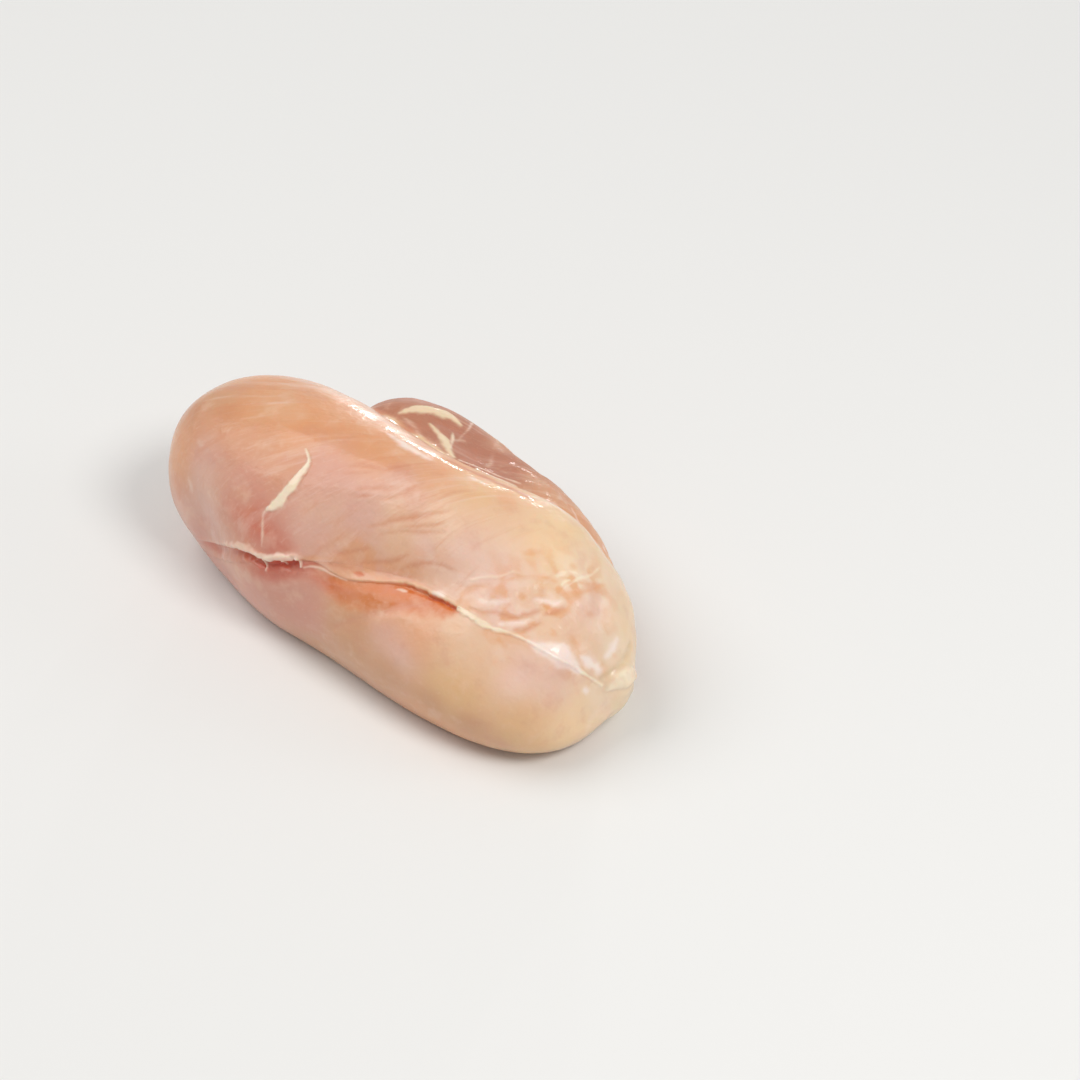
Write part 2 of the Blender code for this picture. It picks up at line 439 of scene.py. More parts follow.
# Strokes that the photograph shows: a kind, then each stroke's (pixel across, pixel down, half width in
# pixels) along it.
SEEN_STROKES = (
    ("rosy",
     ((232, 508, 3), (246, 521, 8), (264, 534, 9), (286, 549, 5)),
     ((222, 546, 1), (234, 556, 3), (250, 566, 4), (270, 574, 3)),
     ((300, 570, 2), (314, 577, 4), (332, 586, 3.5), (352, 592, 2))),
    ("raw", ((216, 549, 1), (228, 556, 2.4), (240, 563, 3.2), (254, 571, 4.2), (275, 575, 5.5),
             (293, 573, 4.5), (306, 570, 1.5))),
    ("gap", ((229, 550, 0.6), (236, 553, 1.8), (244, 557, 2.6), (252, 561, 2.8), (260, 566, 2.4),
             (266, 569, 0.8))),
    ("raw strip", ((336, 582, 1), (352, 586, 3), (370, 588, 4.5), (390, 590, 6), (408, 593, 7),
                   (424, 599, 6.5), (438, 604, 5), (450, 609, 2.5))),
    ("gap", ((268, 567, 0.8), (276, 565, 1.6), (285, 566, 1.8), (293, 564, 1.4), (299, 562, 0.6))),
    ("fat", ((306, 449, 0.6), (309, 462, 1.8), (301, 473, 3.2), (293, 484, 4.2), (283, 496, 5.2),
             (275, 505, 4.6), (268, 509, 1.8))),
    ("vein", ((270, 508, 1.2), (264, 513, 1.1), (263, 523, 0.9), (263, 534, 1), (262, 546, 0.5))),
    ("fat", ((459, 609, 2.6), (467, 613, 3.6), (480, 622, 3), (491, 628, 2.3), (505, 632, 1.9),
             (519, 637, 1.7), (534, 645, 1.5), (548, 653, 1.6), (560, 660, 1.6), (571, 665, 1.5),
             (586, 675, 1.3), (601, 685, 1))),
    ("tag", ((261, 561, 1.2), (264, 566, 1.5), (265, 571, 0.6))),
    ("vein", ((232, 545, 0.8), (244, 549, 1.4), (256, 554, 2), (264, 558, 1.6), (276, 555, 1.8),
              (290, 556, 1))),
    ("tag",
     ((296, 558, 1.2), (299, 562, 2.4), (300, 567, 1)),
     ((283, 561, 1.2), (284, 565, 0.9))),
    ("fold", ((298, 560, 1), (308, 559, 2.2), (322, 558, 1.6), (334, 559, 0.6))),
    ("vein", ((303, 568, 0.6), (312, 567, 1), (322, 569, 1.1), (333, 575, 1.1), (346, 580, 0.6))),
    ("lump", ((606, 690, 1.5), (612, 686, 4.5), (620, 681, 8), (628, 677, 8.5), (635, 674, 5))),
    ("smear", ((619, 668, 1), (625, 662, 2.2), (630, 655, 1.8), (633, 646, 0.8))),
    # Painted highlights on the tip: the glare over the fat line and small white sparkles.
    ("glint",
     ((528, 642, 1.5), (540, 647, 5), (552, 651, 8), (562, 656, 9.5), (571, 664, 6.5), (578, 671, 2)),
     ((581, 657, 2), (590, 663, 6), (600, 670, 4)),
     ((607, 656, 2), (613, 649, 4), (617, 640, 2)),
     ((584, 689, 2.4), (586, 691, 2.4))),
    ("groove", ((600, 678, 1.2), (610, 672, 1.8), (619, 665, 2), (626, 655, 1.6), (631, 642, 1))),
    # Painted highlights along the ridge: the glint where light glances off its edge, and small sparkles
    # further along it.
    ("glint",
     ((389, 434, 1.5), (400, 441, 4), (412, 449, 4.5), (424, 456, 3), (430, 460, 1)),
     ((470, 478, 1.2), (475, 480, 2), (479, 481, 1)),
     ((482, 483, 1.2), (486, 485, 1.4)),
     ((519, 493, 1), (525, 496, 1.5), (537, 499, 1)),
     ((544, 500, 1.2), (552, 504, 2.8), (559, 510, 2.4), (564, 514, 1)),
     ((601, 537, 1), (605, 544, 1.8), (608, 552, 1))),
    # Red-brown band along the crease below the ridge: raw flesh colour and painted crease shade.
    ("raw", ((450, 461, 1), (468, 470, 2.4), (488, 479, 2.8), (508, 488, 2.4), (530, 499, 1))),
    # This faint pale line along the tip's lower rim is a painted highlight.
    ("faint vein", ((611, 696, 2), (600, 708, 4), (591, 718, 3.5), (585, 734, 1.5))),
    ("vein", ((471, 580, 0.8), (487, 577, 1.3), (501, 576, 1.2), (513, 571, 0.7))),
    ("faint vein", ((513, 571, 1), (530, 575, 1.6), (548, 574, 1))),
    ("pale vein",
     ((565, 587, 0.8), (578, 579, 1.4), (591, 575, 1.4), (600, 567, 0.8)),
     ((558, 575, 1.4), (563, 573, 2.4), (566, 572, 1.2)),
     ((571, 571, 1.2), (574, 572, 1.8), (577, 573, 1)),
     ((562, 584, 1), (566, 581, 1.8), (570, 580, 1))),
    ("fold", ((459, 604, 1.6), (463, 594, 2.4), (474, 588, 2.8), (487, 586, 1.4))),
    # Painted highlights on the crests of the wrinkled film.
    ("glint",
     ((480, 600, 1), (488, 602, 2), (500, 602, 2.4), (509, 600, 1)),
     ((536, 599, 0.8), (546, 601, 1.6), (556, 604, 1.4), (562, 600, 0.6)),
     ((500, 624, 1), (510, 623, 1.8), (522, 622, 1.8), (530, 620, 0.8))),
    ("streak",
     ((498, 613, 1), (510, 617, 2.2), (524, 615, 2.6), (538, 611, 1.4)),
     ((514, 630, 0.8), (526, 629, 2), (540, 623, 1)),
     ((545, 614, 1), (554, 612, 2.4), (563, 608, 1)),
     ((470, 608, 0.8), (482, 612, 2), (494, 612, 1))),
    ("fold",
     ((560, 592, 1), (572, 592, 2.4), (590, 590, 2), (604, 584, 0.8)),
     ((524, 553, 1.4), (532, 553, 3.2), (541, 552, 1.6)),
     ((580, 582, 1), (590, 584, 2.4), (598, 583, 1)),
     ((505, 580, 0.8), (520, 577, 1.8), (540, 576, 1.6), (556, 581, 0.8)),
     ((500, 633, 0.8), (512, 634, 1.4), (524, 632, 0.8))),
    ("faint vein", ((430, 566, 1.2), (437, 567, 2), (444, 569, 1))),
    # A small painted highlight in the raw strip.
    ("glint", ((435, 593, 1.4), (440, 594, 1.8), (444, 596, 1))),
    ("spot", ((355, 573, 1), (359, 574, 2.4), (363, 575, 1))),
    ("red",
     ((310, 387, 1.6), (313, 387, 1.6)),
     ((427, 597, 0.8), (440, 601, 1.2), (454, 608, 1.4))),
    ("vein", ((397, 588, 0.8), (402, 589, 1.3), (406, 590, 0.8))),
    ("faint vein",
     ((188, 480, 1.5), (190, 486, 2.4), (191, 492, 1.2)),
     ((198, 441, 1.5), (201, 445, 2)),
     ((207, 493, 1.6), (209, 497, 1.6))),
    ("soft fold", ((336, 626, 1.5), (358, 618, 3), (382, 612, 3.5), (408, 606, 3), (430, 602, 1.5))),
    ("fold", ((498, 640, 1.2), (502, 643, 2.4), (505, 646, 1.2))),
    ("streak",
     ((350, 466, 0.8), (362, 465, 2.2), (376, 467, 1.6), (384, 470, 0.6)),
     ((386, 469, 0.6), (396, 467, 1.4), (410, 466, 0.8)),
     ((344, 473, 0.6), (358, 473, 1.4), (372, 472, 0.6)),
     ((356, 489, 0.8), (370, 488, 1.8), (386, 488, 2), (401, 486, 0.8)),
     ((355, 496, 0.6), (364, 496, 1.2), (374, 495, 0.6)),
     ((379, 499, 0.6), (392, 498, 1.6), (403, 494, 2.6), (415, 488, 2.4), (424, 482, 0.8)),
     ((434, 502, 0.6), (445, 496, 1.4), (456, 492, 1.6), (474, 491, 0.8)),
     ((368, 527, 0.6), (382, 524, 1.4), (395, 520, 2.4), (415, 518, 2.6), (430, 514, 1.4),
      (449, 511, 0.6)),
     ((402, 527, 0.6), (420, 526, 1.4), (434, 525, 1.6), (445, 522, 0.6)),
     ((381, 534, 0.5), (402, 531, 1.2), (420, 532, 1.2), (444, 532, 0.5)),
     ((330, 554, 1.2), (342, 553, 2.2), (356, 551, 1.6), (368, 548, 0.8)),
     ((330, 564, 1.4), (340, 566, 2), (350, 569, 1)),
     ((362, 563, 0.8), (378, 562, 1.6), (393, 561, 1.8), (408, 554, 0.8)),
     ((402, 570, 0.8), (413, 565, 2), (428, 563, 1.8), (442, 565, 1.6), (456, 571, 0.6))),
)

# Strokes on the back lobe, where it shows above the ridge.
BACK_STROKES = (
    ("band",
     ((400, 413, 1.5), (408, 411, 5), (418, 410, 7), (432, 411, 7), (444, 415, 6.5), (452, 419, 5.5),
      (460, 426, 2)),
     ((430, 424, 1), (435, 430, 2.2), (441, 438, 4.6), (446, 444, 6), (448, 451, 4), (453, 458, 2.4),
      (459, 463, 1.4))),
    ("pale vein",
     ((453, 433, 0.6), (452, 441, 1.4), (450, 449, 1)),
     ((459, 463, 1), (470, 467, 1.5), (484, 472, 1.6), (500, 479, 1.4), (516, 486, 0.8))),
    ("faint vein", ((405, 418, 1.4), (413, 425, 2.2), (420, 436, 1.6))),
    ("vein", ((456, 460, 1.5), (468, 464, 1.2), (480, 468, 1.2), (494, 473, 1.2), (508, 479, 1.1),
              (520, 484, 0.8))),
    ("soft fold", ((436, 422, 1.4), (450, 427, 2.4), (464, 436, 1.4))),
    # Red-brown band along the crease below the ridge: raw flesh colour and painted crease shade.
    ("raw", ((455, 466, 0.8), (470, 470, 2.4), (490, 477, 2.6), (510, 486, 1))),
    ("faint vein", ((452, 441, 0.8), (458, 441, 1.2), (465, 442, 0.8))),
    ("yellow fat", ((567, 490, 0.6), (574, 497, 1.2), (581, 506, 0.6))),
)

# Strokes out of the photograph's sight: a kind, then each stroke's (place along, angle up from +Y, half
# width in mm) along it.
HIDDEN_STROKES = (
    ("vein",
     ((-0.46, 24, 0.2), (-0.44, 16, 0.4), (-0.42, 6, 0.4), (-0.40, -4, 0.2)),
     ((-0.34, 18, 0.2), (-0.22, 15, 0.4), (-0.08, 12, 0.4), (0.04, 11, 0.2))),
    ("faint vein", ((-0.08, 12, 0.3), (-0.02, 4, 0.6), (0.02, -4, 0.3))),
    ("vein", ((-0.02, 11, 0.1), (0.06, 10, 0.3), (0.18, 8, 0.4), (0.30, 9, 0.2))),
    ("faint vein", ((0.18, 11, 0.3), (0.30, 4, 0.7), (0.44, 2, 0.3))),
    ("vein", ((0.38, 20, 0.2), (0.50, 24, 0.4), (0.62, 24, 0.2))),
    ("smear", ((-0.90, 14, 0.2), (-0.84, 18, 1.4), (-0.78, 20, 1.8), (-0.72, 20, 0.4))),
    ("vein", ((-0.72, 20, 0.3), (-0.62, 26, 0.4), (-0.52, 36, 0.2))),
    ("faint vein", ((-0.62, 26, 0.3), (-0.52, 20, 0.7), (-0.44, 10, 0.3))),
    ("smear", ((0.60, 6, 0.3), (0.68, 10, 1.4), (0.76, 12, 1.6), (0.84, 8, 0.4))),
    ("soft fold",
     ((-0.80, -8, 0.6), (-0.70, 2, 1.2), (-0.62, 10, 0.8)),
     ((-0.92, 60, 0.5), (-0.84, 52, 1), (-0.74, 50, 0.6)),
     ((-0.20, -12, 0.6), (0.00, -8, 1.2), (0.20, -10, 0.6)),
     ((0.10, 24, 0.3), (0.26, 20, 0.9), (0.44, 22, 0.3))),
    ("streak",
     ((-0.86, 38, 0.2), (-0.76, 40, 0.7), (-0.64, 44, 0.3)),
     ((-0.84, 30, 0.2), (-0.72, 33, 0.5), (-0.58, 34, 0.2)),
     ((-0.78, 2, 0.2), (-0.66, 0, 0.7), (-0.54, -4, 0.3)),
     ((-0.25, 16, 0.2), (-0.10, 10, 0.6), (0.06, 2, 0.3)),
     ((-0.20, 4, 0.2), (-0.04, -2, 0.6), (0.14, -6, 0.3)),
     ((0.24, 0, 0.2), (0.38, -4, 0.8), (0.54, -4, 0.3)),
     ((0.30, 32, 0.2), (0.42, 30, 0.7), (0.56, 30, 0.3))),
)

# Threads and flecks scattered over the hidden side. Places and lengths are shares of the half length,
# half widths are in mm, and a length round the spine turns into degrees.
SCATTERED_VEINS = 26
SCATTER_SEED = 11
SCATTER_PLACES = (-0.85, 0.70)
SCATTER_DEGREES = (-35, 24)
SCATTER_HEADINGS = (-0.6, 0.6)
SCATTER_LENGTHS = (0.04, 0.16)
SCATTER_WIDTHS = (0.15, 0.5)
SCATTER_BEND = (-0.5, 0.5)
SCATTER_STEPS = 4
DEGREES_PER_SHARE = 220
BRIGHT_VEINS = 0.35


def between(stations, x):
    """The section's four sizes at each x, on smooth curves through the stations."""
    table = np.array(stations)
    places = table[:, 0] * LENGTH / 2
    sizes = table[:, 1:] * np.array([WIDTH / 2, HEIGHT, WIDTH / 2, HEIGHT])
    slopes = np.gradient(sizes, places, axis=0)
    x = np.clip(x, places[0], places[-1])
    index = np.clip(np.searchsorted(places, x) - 1, 0, len(places) - 2)
    step = places[index + 1] - places[index]
    t = ((x - places[index]) / step)[..., None]
    step = step[..., None]
    return (
        (1 + 2 * t) * (1 - t) ** 2 * sizes[index]
        + t * (1 - t) ** 2 * step * slopes[index]
        + t**2 * (3 - 2 * t) * sizes[index + 1]
        + t**2 * (t - 1) * step * slopes[index + 1]
    )


def muscle(lobe, points):
    """About how far each point is outside one muscle; negative inside."""
    x, y, z = points[..., 0], points[..., 1], points[..., 2]
    low, high = (share * LENGTH / 2 for share in lobe["reach"])
    section = between(lobe["stations"], x)
    centre_y, centre_z, half_width, half_height = np.moveaxis(section, -1, 0)
    along = np.abs((x - (low + high) / 2) / ((high - low) / 2)) ** lobe["bluntness"]
    across = ((y - centre_y) / half_width) ** 2 + ((z - centre_z) / half_height) ** 2
    return (np.sqrt(along + across) - 1) * np.minimum(half_width, half_height)


def blend(a, b, radius):
    """The smaller of two distances, with the valley between the two shapes rounded."""
    overlap = np.maximum(radius - np.abs(a - b), 0) / radius
    return np.minimum(a, b) - overlap**2 * radius / 4


def smooth_step(low, high, value):
    share = np.clip((value - low) / (high - low), 0, 1)
    return share * share * (3 - 2 * share)


def hump(value, centre, half_width):
    """A soft bell: 1 at the centre and nearly nothing at twice the half width."""
    return np.exp(-(((value - centre) / half_width) ** 2))


def field(points):
    """About how far each point is outside the breast; negative inside."""
    share = points[..., 0] / (LENGTH / 2)
    cleft = CREASE + (TIP_CREASE - CREASE) * smooth_step(*TIP_CREASE_REACH, share)
    cleft += (MIDDLE_CREASE - CREASE) * hump(share, MIDDLE_CREASE_PLACE, MIDDLE_CREASE_REACH)
    distance = blend(muscle(MAIN_LOBE, points), muscle(FRONT_LOBE, points), cleft)
    distance = blend(distance, muscle(BACK_LOBE, points), CREASE)
    distance = blend(distance, muscle(TIP_FAT, points), 2 * CREASE)
    return -blend(-distance, points[..., 2], BASE_ROUNDING)


def spine(share):
    """The point inside the breast that the rays of one station start from."""
    x = share * SPINE_REACH * LENGTH / 2
    y = -SPINE_BOW * share**2 * WIDTH
    z = (SPINE_HEIGHT - SPINE_DROP * share) * HEIGHT
    return np.stack([x, y, z], -1)


def to_surface(directions):
    """Each direction's point on the surface: the outermost one on a ray from the spine."""
    share = directions[:, 0]
    start = spine(share)
    heading = directions.copy()
    heading[:, 0] = share**END_FANNING
    heading /= np.linalg.norm(heading, axis=1)[:, None]
    far = np.full(len(start), RAY_LENGTH)
    near = np.zeros(len(start))
    for reach in np.linspace(RAY_LENGTH, 0, RAY_STEPS):
        searching = np.flatnonzero(near == 0)
        inside = field(start[searching] + heading[searching] * reach) < 0
        near[searching[inside]] = reach
        far[searching[~inside]] = reach
    for _ in range(HALVINGS):
        middle = (near + far) / 2
        inside = field(start + heading * middle[:, None]) < 0
        near = np.where(inside, middle, near)
        far = np.where(inside, far, middle)
    return start + heading * near[:, None]


def camera_axes():
    """Right, up and back of a camera that looks straight at the origin."""
    right = Vector((math.cos(AZIMUTH), math.sin(AZIMUTH), 0))
    back = Vector(
        (
            math.sin(AZIMUTH) * math.cos(ELEVATION),
            -math.cos(AZIMUTH) * math.cos(ELEVATION),
            math.sin(ELEVATION),
        )
    )
    return right, back.cross(right), back


def placed(name, data):
    """A new object in the scene."""
    thing = bpy.data.objects.new(name, data)
    bpy.context.scene.collection.objects.link(thing)
    return thing


def make_camera():
    """The photograph's viewpoint, turned so that the origin lands on its pixel."""
    right, up, back = camera_axes()
    place = back * DISTANCE
    across = (PHOTO_SIZE / 2 - ORIGIN_PIXEL[0]) / PIXELS_PER_MM * MM
    above = (ORIGIN_PIXEL[1] - PHOTO_SIZE / 2) / PIXELS_PER_MM * MM
    behind = (place - right * across - up * above).normalized()
    side = up.cross(behind).normalized()
    turned = Matrix((side, behind.cross(side), behind)).transposed().to_4x4()
    data = bpy.data.cameras.new("camera")
    data.sensor_width = SENSOR_WIDTH
    data.lens = FOCAL_PIXELS / PHOTO_SIZE * SENSOR_WIDTH
    data.clip_start = 0.01
    data.clip_end = 20.0
    camera = placed("camera", data)
    camera.matrix_world = Matrix.Translation(place) @ turned
    bpy.context.scene.camera = camera
    return camera


def vertex_array(mesh, layer, what):
    """A mesh's points or normals as rows."""
    values = np.empty(len(mesh.vertices) * 3, np.float32)
    getattr(mesh, layer).foreach_get(what, values)
    return values.reshape(-1, 3).astype(float)


def ray_mesh():
    """The breast's surface, found from its spine."""
    mesh = bpy.data.meshes.new("breast_surface")
    builder = bmesh.new()
    bmesh.ops.create_uvsphere(builder, u_segments=POINTS_ROUND, v_segments=STATIONS, radius=1.0)
    builder.to_mesh(mesh)
    builder.free()
    directions = vertex_array(mesh, "vertices", "co")[:, [2, 0, 1]]
    mesh.vertices.foreach_set("co", to_surface(directions).ravel())
    mesh.update()
    return mesh


def remeshed(mesh):
    """The same surface with even cells."""
    shape = placed("breast_remesh", mesh)
    modifier = shape.modifiers.new("even", "REMESH")
    modifier.mode = "VOXEL"
    modifier.voxel_size = VOXEL
    modifier.use_smooth_shade = True
    graph = bpy.context.evaluated_depsgraph_get()
    result = bpy.data.meshes.new_from_object(shape.evaluated_get(graph))
    bpy.data.objects.remove(shape, do_unlink=True)
    return result


class Surface:
    """Finds points of the surface from pixels, or from angles about the spine."""

    def __init__(self, mesh, camera):
        mesh.calc_loop_triangles()
        faces = [tuple(face.vertices) for face in mesh.loop_triangles]
        self.tree = BVHTree.FromPolygons([v.co.copy() for v in mesh.vertices], faces)
        self.start = camera.matrix_world.translation
        self.turn = camera.matrix_world.to_3x3()

    def at(self, across, down):
        """The surface point at a photo pixel, or None off the breast."""
        half = PHOTO_SIZE / 2
        heading = Vector((across - half, half - down, -FOCAL_PIXELS))
        return self.tree.ray_cast(self.start, (self.turn @ heading).normalized())[0]

    def around(self, share, degrees):
        """The surface point out from the spine at a share of the half length."""
        start = Vector(spine(np.array(share)))
        start.x = share * LENGTH / 2 * 0.94
        angle = math.radians(degrees)
        heading = Vector((0, math.cos(angle), math.sin(angle)))
        return self.tree.ray_cast(start + heading * WIDTH, -heading)[0]


def smooth_row(rows, per_step):
    """Rows of numbers with smooth curves put through them."""
    rows = np.array(rows, float)
    padded = np.vstack([2 * rows[0] - rows[1], rows, 2 * rows[-1] - rows[-2]])
    result = []
    for before, start, end, after in zip(padded, padded[1:], padded[2:], padded[3:]):
        for t in np.arange(per_step) / per_step:
            bend = (
                2 * start
                + (end - before) * t
                + (2 * before - 5 * start + 4 * end - after) * t**2
                + (3 * start - before - 3 * end + after) * t**3
            )
            result.append(bend / 2)
    result.append(rows[-1])
    return np.array(result)


def listed(table):
    """The kind and the places of every stroke in a table, in order."""
    return [(kind, rows) for kind, *strokes in table for rows in strokes]


def traced(surface, rows, lobe=None):
    """A row of pixels laid on the surface: its points, and the row's other numbers at each."""
    points = []
    values = []
    for row in smooth_row(rows, TRACE_STEPS):
        place = surface.at(row[0], row[1])
        if place is None:
            continue
        if lobe is not None and muscle(lobe, np.array(place)) > LOBE_MARGIN:
            continue
        points.append(np.array(place))
        values.append(row[2:])
    return np.array(points), np.array(values)


def laid_round(surface, rows):
    """A row of places round the spine laid on the surface: its points, and its half width at each."""
    rows = smooth_row(rows, ROUND_STEPS)
    places = [(surface.around(row[0], row[1]), row[2:] * PIXELS_PER_MM) for row in rows]
    found = [(np.array(place), width) for place, width in places if place is not None]
    return np.array([place for place, _ in found]), np.array([width for _, width in found])


def scattered_veins(surface):
    """Short pale threads and flecks of fat over the hidden side."""
    chance = np.random.RandomState(SCATTER_SEED)
    veins = []
    for _ in range(SCATTERED_VEINS):
        share = chance.uniform(*SCATTER_PLACES)
        angle = chance.uniform(*SCATTER_DEGREES)
        heading = chance.uniform(*SCATTER_HEADINGS)
        length = chance.uniform(*SCATTER_LENGTHS)
        rows = []
        for step in np.linspace(0, 1, SCATTER_STEPS + 1):
            width = chance.uniform(*SCATTER_WIDTHS) * math.sin(math.pi * (0.1 + 0.8 * step))
            rows.append((share, angle, width))
            heading += chance.uniform(*SCATTER_BEND)
            share += length / SCATTER_STEPS * math.cos(heading)
            angle += DEGREES_PER_SHARE * length / SCATTER_STEPS * math.sin(heading)
        kind = "vein" if chance.uniform() < BRIGHT_VEINS else "faint vein"
        veins.append((kind, *laid_round(surface, rows)))
    return veins


def near_line(points, normals, line, reach):
    """The points near a line: their numbers, distance, side, share along it and direction across it."""
    low = line.min(axis=0) - reach
    high = line.max(axis=0) + reach
    index = np.flatnonzero(((points > low) & (points < high)).all(axis=1))
    nearby = points[index]
    distance = np.full(len(index), np.inf)
    share = np.zeros(len(index))
    offset = np.zeros((len(index), 3))
    ahead = np.zeros((len(index), 3))
    for number, (start, end) in enumerate(zip(line, line[1:])):
        run = end - start
        if not run.any():
            continue
        t = np.clip((nearby - start) @ run / (run @ run), 0, 1)
        away = nearby - start - t[:, None] * run
        length = np.linalg.norm(away, axis=1)
        closer = length < distance
        distance[closer] = length[closer]
        share[closer] = number + t[closer]
        offset[closer] = away[closer]
        ahead[closer] = run / np.linalg.norm(run)
    across = np.cross(normals[index], ahead)
    side = np.sign((across * offset).sum(axis=1))
    kept = distance < reach
    return index[kept], distance[kept], side[kept], share[kept], across[kept]


def roughness(points, size, seed=0.0):
    """Smooth noise between about -1 and 1 with lumps of one size."""
    shift = Vector((seed, 2 * seed, 3 * seed))
    return np.array([noise.noise(Vector(point) / size + shift) for point in points])


def bells(points, surface, rows):
    """A soft bell round each row's pixel, with the numbers after its radius."""
    for across, down, radius, *rest in rows:
        place = surface.at(across, down)
        if place is not None:
            away = np.linalg.norm(points - np.array(place), axis=1) / MM
            yield hump(away, 0, radius), *rest


def swell(mesh, surface):
    """Broad swellings and hollows that bring the shape closer to the photograph."""
    points = vertex_array(mesh, "vertices", "co")
    normals = vertex_array(mesh, "vertex_normals", "vector")
    rise = np.zeros(len(points))
    for bell, height in bells(points, surface, SHAPE_LUMPS):
        rise += height * MM * bell
    move = normals * rise[:, None]
    move[:, 2] *= smooth_step(0, 5, points[:, 2] / MM)
    mesh.vertices.foreach_set("co", (points + move).ravel())
    mesh.update()


class Skin:
    """The breast's points while its relief and colours are worked out."""

    def __init__(self, mesh):
        self.points = vertex_array(mesh, "vertices", "co")
        self.normals = vertex_array(mesh, "vertex_normals", "vector")
        count = len(self.points)
        self.move = np.zeros((count, 3))
        self.colour = np.zeros((count, 3))
        self.fat = np.zeros(count)
        self.main = muscle(MAIN_LOBE, self.points)
        self.front = muscle(FRONT_LOBE, self.points)
        self.back = muscle(BACK_LOBE, self.points)
        self.tip = muscle(TIP_FAT, self.points)
        self.on_front = self.front < np.minimum(self.main, self.back)
        self.ragged = roughness(self.points, 1.6 * MM, 5.0)
        self.patchy = roughness(self.points, 4.2 * MM, 8.0)

    def raise_by(self, index, height):
        self.move[index] += self.normals[index] * height[:, None]

    def cover(self, index, colour, share):
        share = np.clip(share, 0, 1)[:, None]
        self.colour[index] = self.colour[index] * (1 - share) + colour * share

    def all(self):
        return np.arange(len(self.points))


def paint_patches(skin, surface):
    """Soft patches of flesh colour over the whole breast."""
    places = [(surface.at(x, y), radius, colour) for x, y, radius, colour in FLESH_PATCHES]
    places += [(surface.around(x, angle), radius, colour) for x, angle, radius, colour in HIDDEN_PATCHES]
    total = np.zeros((len(skin.points), 3))
    weight = np.zeros((len(skin.points), 1))
    for place, radius, colour in places:
        if place is None:
            continue
        away = np.linalg.norm(skin.points - np.array(place), axis=1) / (radius * MM)
        near = (1 / (1 + away**2) ** 3)[:, None]
        total += near * colour
        weight += near
    skin.colour[:] = total / weight


def paint_lobes(skin):
    """The back lobe's greyer flesh, redder creases and the fat at the tip."""
    everywhere = skin.all()
    on_back = (skin.back < skin.main) & (skin.back < skin.front)
    greyer = on_back * smooth_step(0.5, 2.5, skin.main / MM)
    greyer = greyer * smooth_step(45, 5, skin.points[:, 0] / MM) * 0.85
    skin.cover(everywhere, BACK_FLESH, greyer)
    # Redder flesh along the crease between main and back lobes: partly the flesh's own red, partly painted
    # shade of the crease.
    crease = hump(np.maximum(skin.main, skin.back) / MM, 0, 1.6)
    skin.cover(everywhere, RED_FLESH, crease * 0.6)
    broken = smooth_step(-0.25, 0.35, roughness(skin.points, 11 * MM, 4.0))
    seam = hump(np.maximum(skin.main, skin.back) / MM + skin.ragged * 0.5, 0.2, 1.3) * broken
    skin.cover(everywhere, YELLOW_FAT, seam * 0.8)
    skin.raise_by(everywhere, seam * 0.9 * MM)
    skin.fat = np.maximum(skin.fat, seam)
    low = hump(np.maximum(skin.main, skin.front) / MM, 0, 1.4) * (skin.points[:, 0] < 0.55 * LENGTH / 2)
    skin.cover(everywhere, ROSE, low * 0.4)
    others = np.minimum(np.minimum(skin.main, skin.front), skin.back)
    lumps = roughness(skin.points, 5.0 * MM, 9.0)
    fat = smooth_step(-1.0, 2.2, (others - skin.tip) / MM + skin.ragged * 0.5 + lumps * 1.5)
    skin.cover(everywhere, YELLOW_FAT * 0.5 + FAT * 0.5, fat * (0.85 + 0.15 * lumps))
    skin.fat = np.maximum(skin.fat, fat)
    skin.raise_by(everywhere, fat * (lumps * 0.8 + skin.ragged * 0.15) * MM)


def add_lumps(skin):
    """The slight unevenness of soft meat, and ripples along the fibres."""
    everywhere = skin.all()
    base = smooth_step(0.5, 6, skin.points[:, 2] / MM)
    hidden = smooth_step(0, 30, skin.points[:, 1] / MM)
    broad = roughness(skin.points, 22 * MM, 1.0) * 0.7
    middling = roughness(skin.points, 8 * MM, 2.0) * (0.16 + 0.14 * hidden)
    along, across, third = fibre_places(skin)
    fibres = np.stack([along / 34, across / 6.5, third / 14], axis=1)
    ripples = roughness(fibres, 1.0, 3.0) * (0.10 + 0.40 * hidden)
    skin.raise_by(everywhere, (broad + middling + ripples) * MM * base)


def fibre_places(skin):
    """Each point's place along the fibres, across them and through them, in mm."""
    x = skin.points[:, 0] - FAN_CENTRE[0]
    y = skin.points[:, 1] - FAN_CENTRE[1]
    along = np.hypot(x, y) / MM
    across = np.arctan2(-x, -y) * FAN_RADIUS / MM
    third = skin.points[:, 2] / MM * 0.5
    ahead = Vector(FRONT_FIBRES).normalized()
    beside = ahead.cross(Vector((0, 0, 1))).normalized()
    above = beside.cross(ahead)
    along = np.where(skin.on_front, skin.points @ np.array(ahead) / MM, along)
    across = np.where(skin.on_front, skin.points @ np.array(above) / MM, across)
    third = np.where(skin.on_front, skin.points @ np.array(beside) / MM, third)
    return along, across, third


def wrinkle(skin, surface):
    """Fine crumpled film with amber hollows, and crests painted white as highlights."""
    zone = np.zeros(len(skin.points))
    for bell, strength in bells(skin.points, surface, WRINKLED):
        zone = np.maximum(zone, strength * bell)
    crumple = roughness(skin.points / (np.array([5.5, 3.2, 4.0]) * MM), 1.0, 6.0)
    everywhere = skin.all()
    skin.raise_by(everywhere, zone * (0.13 * crumple + 0.05 * skin.ragged) * MM)
    skin.cover(everywhere, AMBER, zone * smooth_step(0.0, 0.4, 0.6 * skin.patchy - crumple) * 0.75)
    # The white on the crests is a painted highlight.
    skin.cover(everywhere, PAINTED_HIGHLIGHT_WHITE, zone * smooth_step(0.1, 0.55, crumple + 0.3 * skin.ragged) * 0.30)


